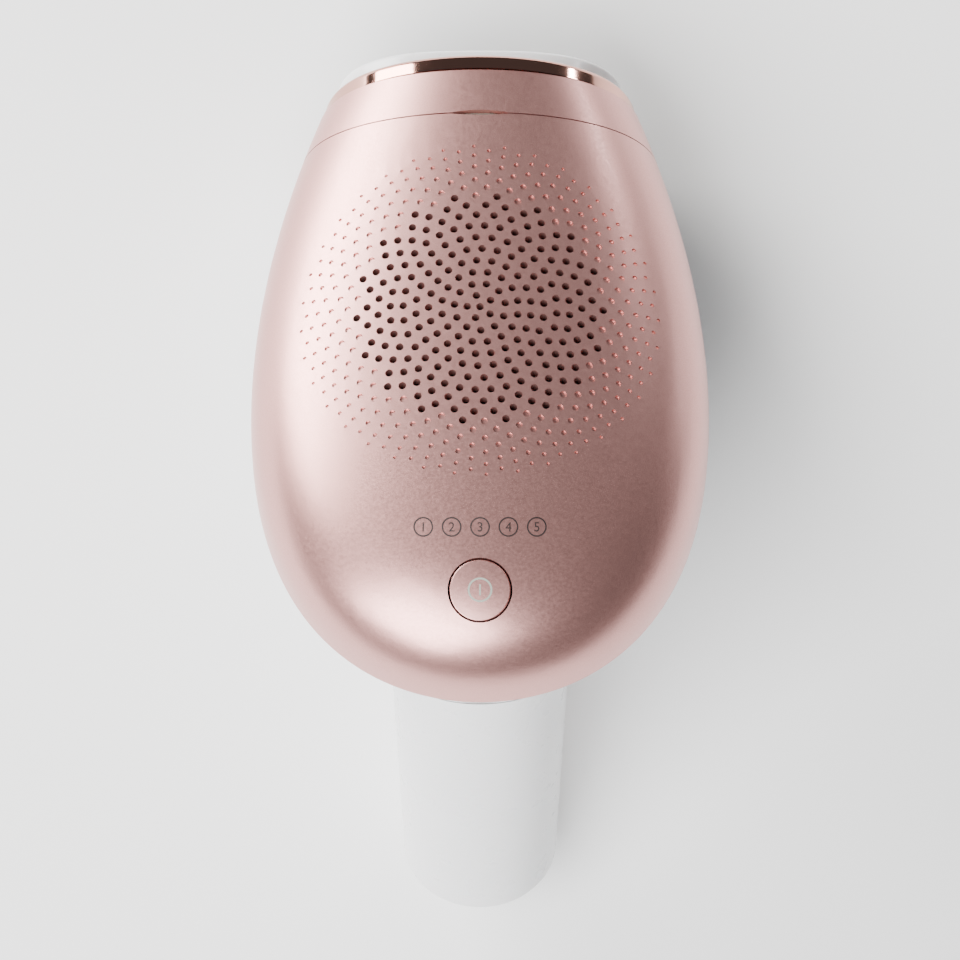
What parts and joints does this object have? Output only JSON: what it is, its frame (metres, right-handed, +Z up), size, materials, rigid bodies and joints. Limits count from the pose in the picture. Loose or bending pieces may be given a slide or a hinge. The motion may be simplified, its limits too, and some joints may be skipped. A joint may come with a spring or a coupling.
{
  "type": "ipl hair remover",
  "caption": "Pistol-shaped flash hair remover with a rose-gold egg-shaped vented rear cover, copper trim ring, lift-off treatment frame and white handle.",
  "frame": {"origin": "centre of the footprint on the table, with the device lying on its window ring and the end of its handle", "axes": "+Z up, +Y towards the treatment window, +X to the right seen from above the rear cover"},
  "size_m": [0.0856, 0.1639, 0.0834],
  "materials": {
    "rose_gold": "satin metallic rose-gold lacquer",
    "copper": "polished copper plating",
    "white_plastic": "satin gloss",
    "black_plastic": "matte",
    "light_guide": "translucent",
    "sensor_window": "dark translucent",
    "rubber": "matte",
    "reflector": "mirror",
    "filter_glass": "clear amber",
    "lamp_glass": "clear",
    "steel": "satin",
    "gold_contact": "plated",
    "ceramic": "matte",
    "circuit_board": "solder mask",
    "led": "clear",
    "capacitor": "sleeved",
    "coil": "wound"
  },
  "bodies": {
    "body": {"button_sleeve": "black_plastic", "chassis": "black_plastic", "contact_pins": "gold_contact", "controller_chip": "black_plastic", "dust_screen": "black_plastic", "fan_frame": "black_plastic", "fan_motor": "steel", "fan_posts": "black_plastic", "fan_screws": "steel", "filter_glass": "filter_glass", "flash_capacitor": "capacitor", "flash_lamp": "lamp_glass", "front_collar": "rose_gold", "handle_front_shell": "white_plastic", "handle_rear_shell": "white_plastic", "head_shell": "white_plastic", "key_switch": "black_plastic", "lamp_caps": "steel", "lamp_carrier": "black_plastic", "lamp_holders": "ceramic", "lamp_reflector": "reflector", "level_lights": "led", "light_baffle": "black_plastic", "main_board": "circuit_board", "power_board": "circuit_board", "power_inlet": "black_plastic", "ready_light_board": "circuit_board", "ready_light_lens": "light_guide", "rear_cover": "rose_gold", "reservoir_capacitor": "capacitor", "skin_sensor_lens": "sensor_window", "trigger_switch": "black_plastic", "trigger_transformer": "coil", "trim_ring": "copper", "ui_board": "circuit_board", "window_bezel": "black_plastic", "window_gasket": "rubber"},
    "power_button": {"power_button": "rose_gold", "power_icon": "light_guide"},
    "flash_trigger": {"flash_trigger": "rose_gold"},
    "attachment": {"attachment_frame": "white_plastic", "attachment_duct": "reflector"},
    "fan_rotor": {"fan_rotor": "black_plastic"}
  },
  "joints": [
    {"name": "power_button_press", "type": "slide", "parent": "body", "child": "power_button", "axis": [0, -0.2317, -0.9728], "range_m": [0, 0.0006], "stiffness_N_per_m": 1500, "springref_m": -0.0006},
    {"name": "flash_trigger_press", "type": "slide", "parent": "body", "child": "flash_trigger", "axis": [0, -0.7501, 0.6613], "range_m": [0, 0.0015], "stiffness_N_per_m": 800, "springref_m": -0.0015},
    {"name": "attachment_pull", "type": "slide", "parent": "body", "child": "attachment", "axis": [0, 0.866, -0.5], "range_m": [0, 0.0026]},
    {"name": "fan_spin", "type": "hinge", "parent": "body", "child": "fan_rotor", "pos_m": [0, 0.02688, 0.05451], "axis": [0, 0.5, 0.866], "continuous": true}
  ]
}
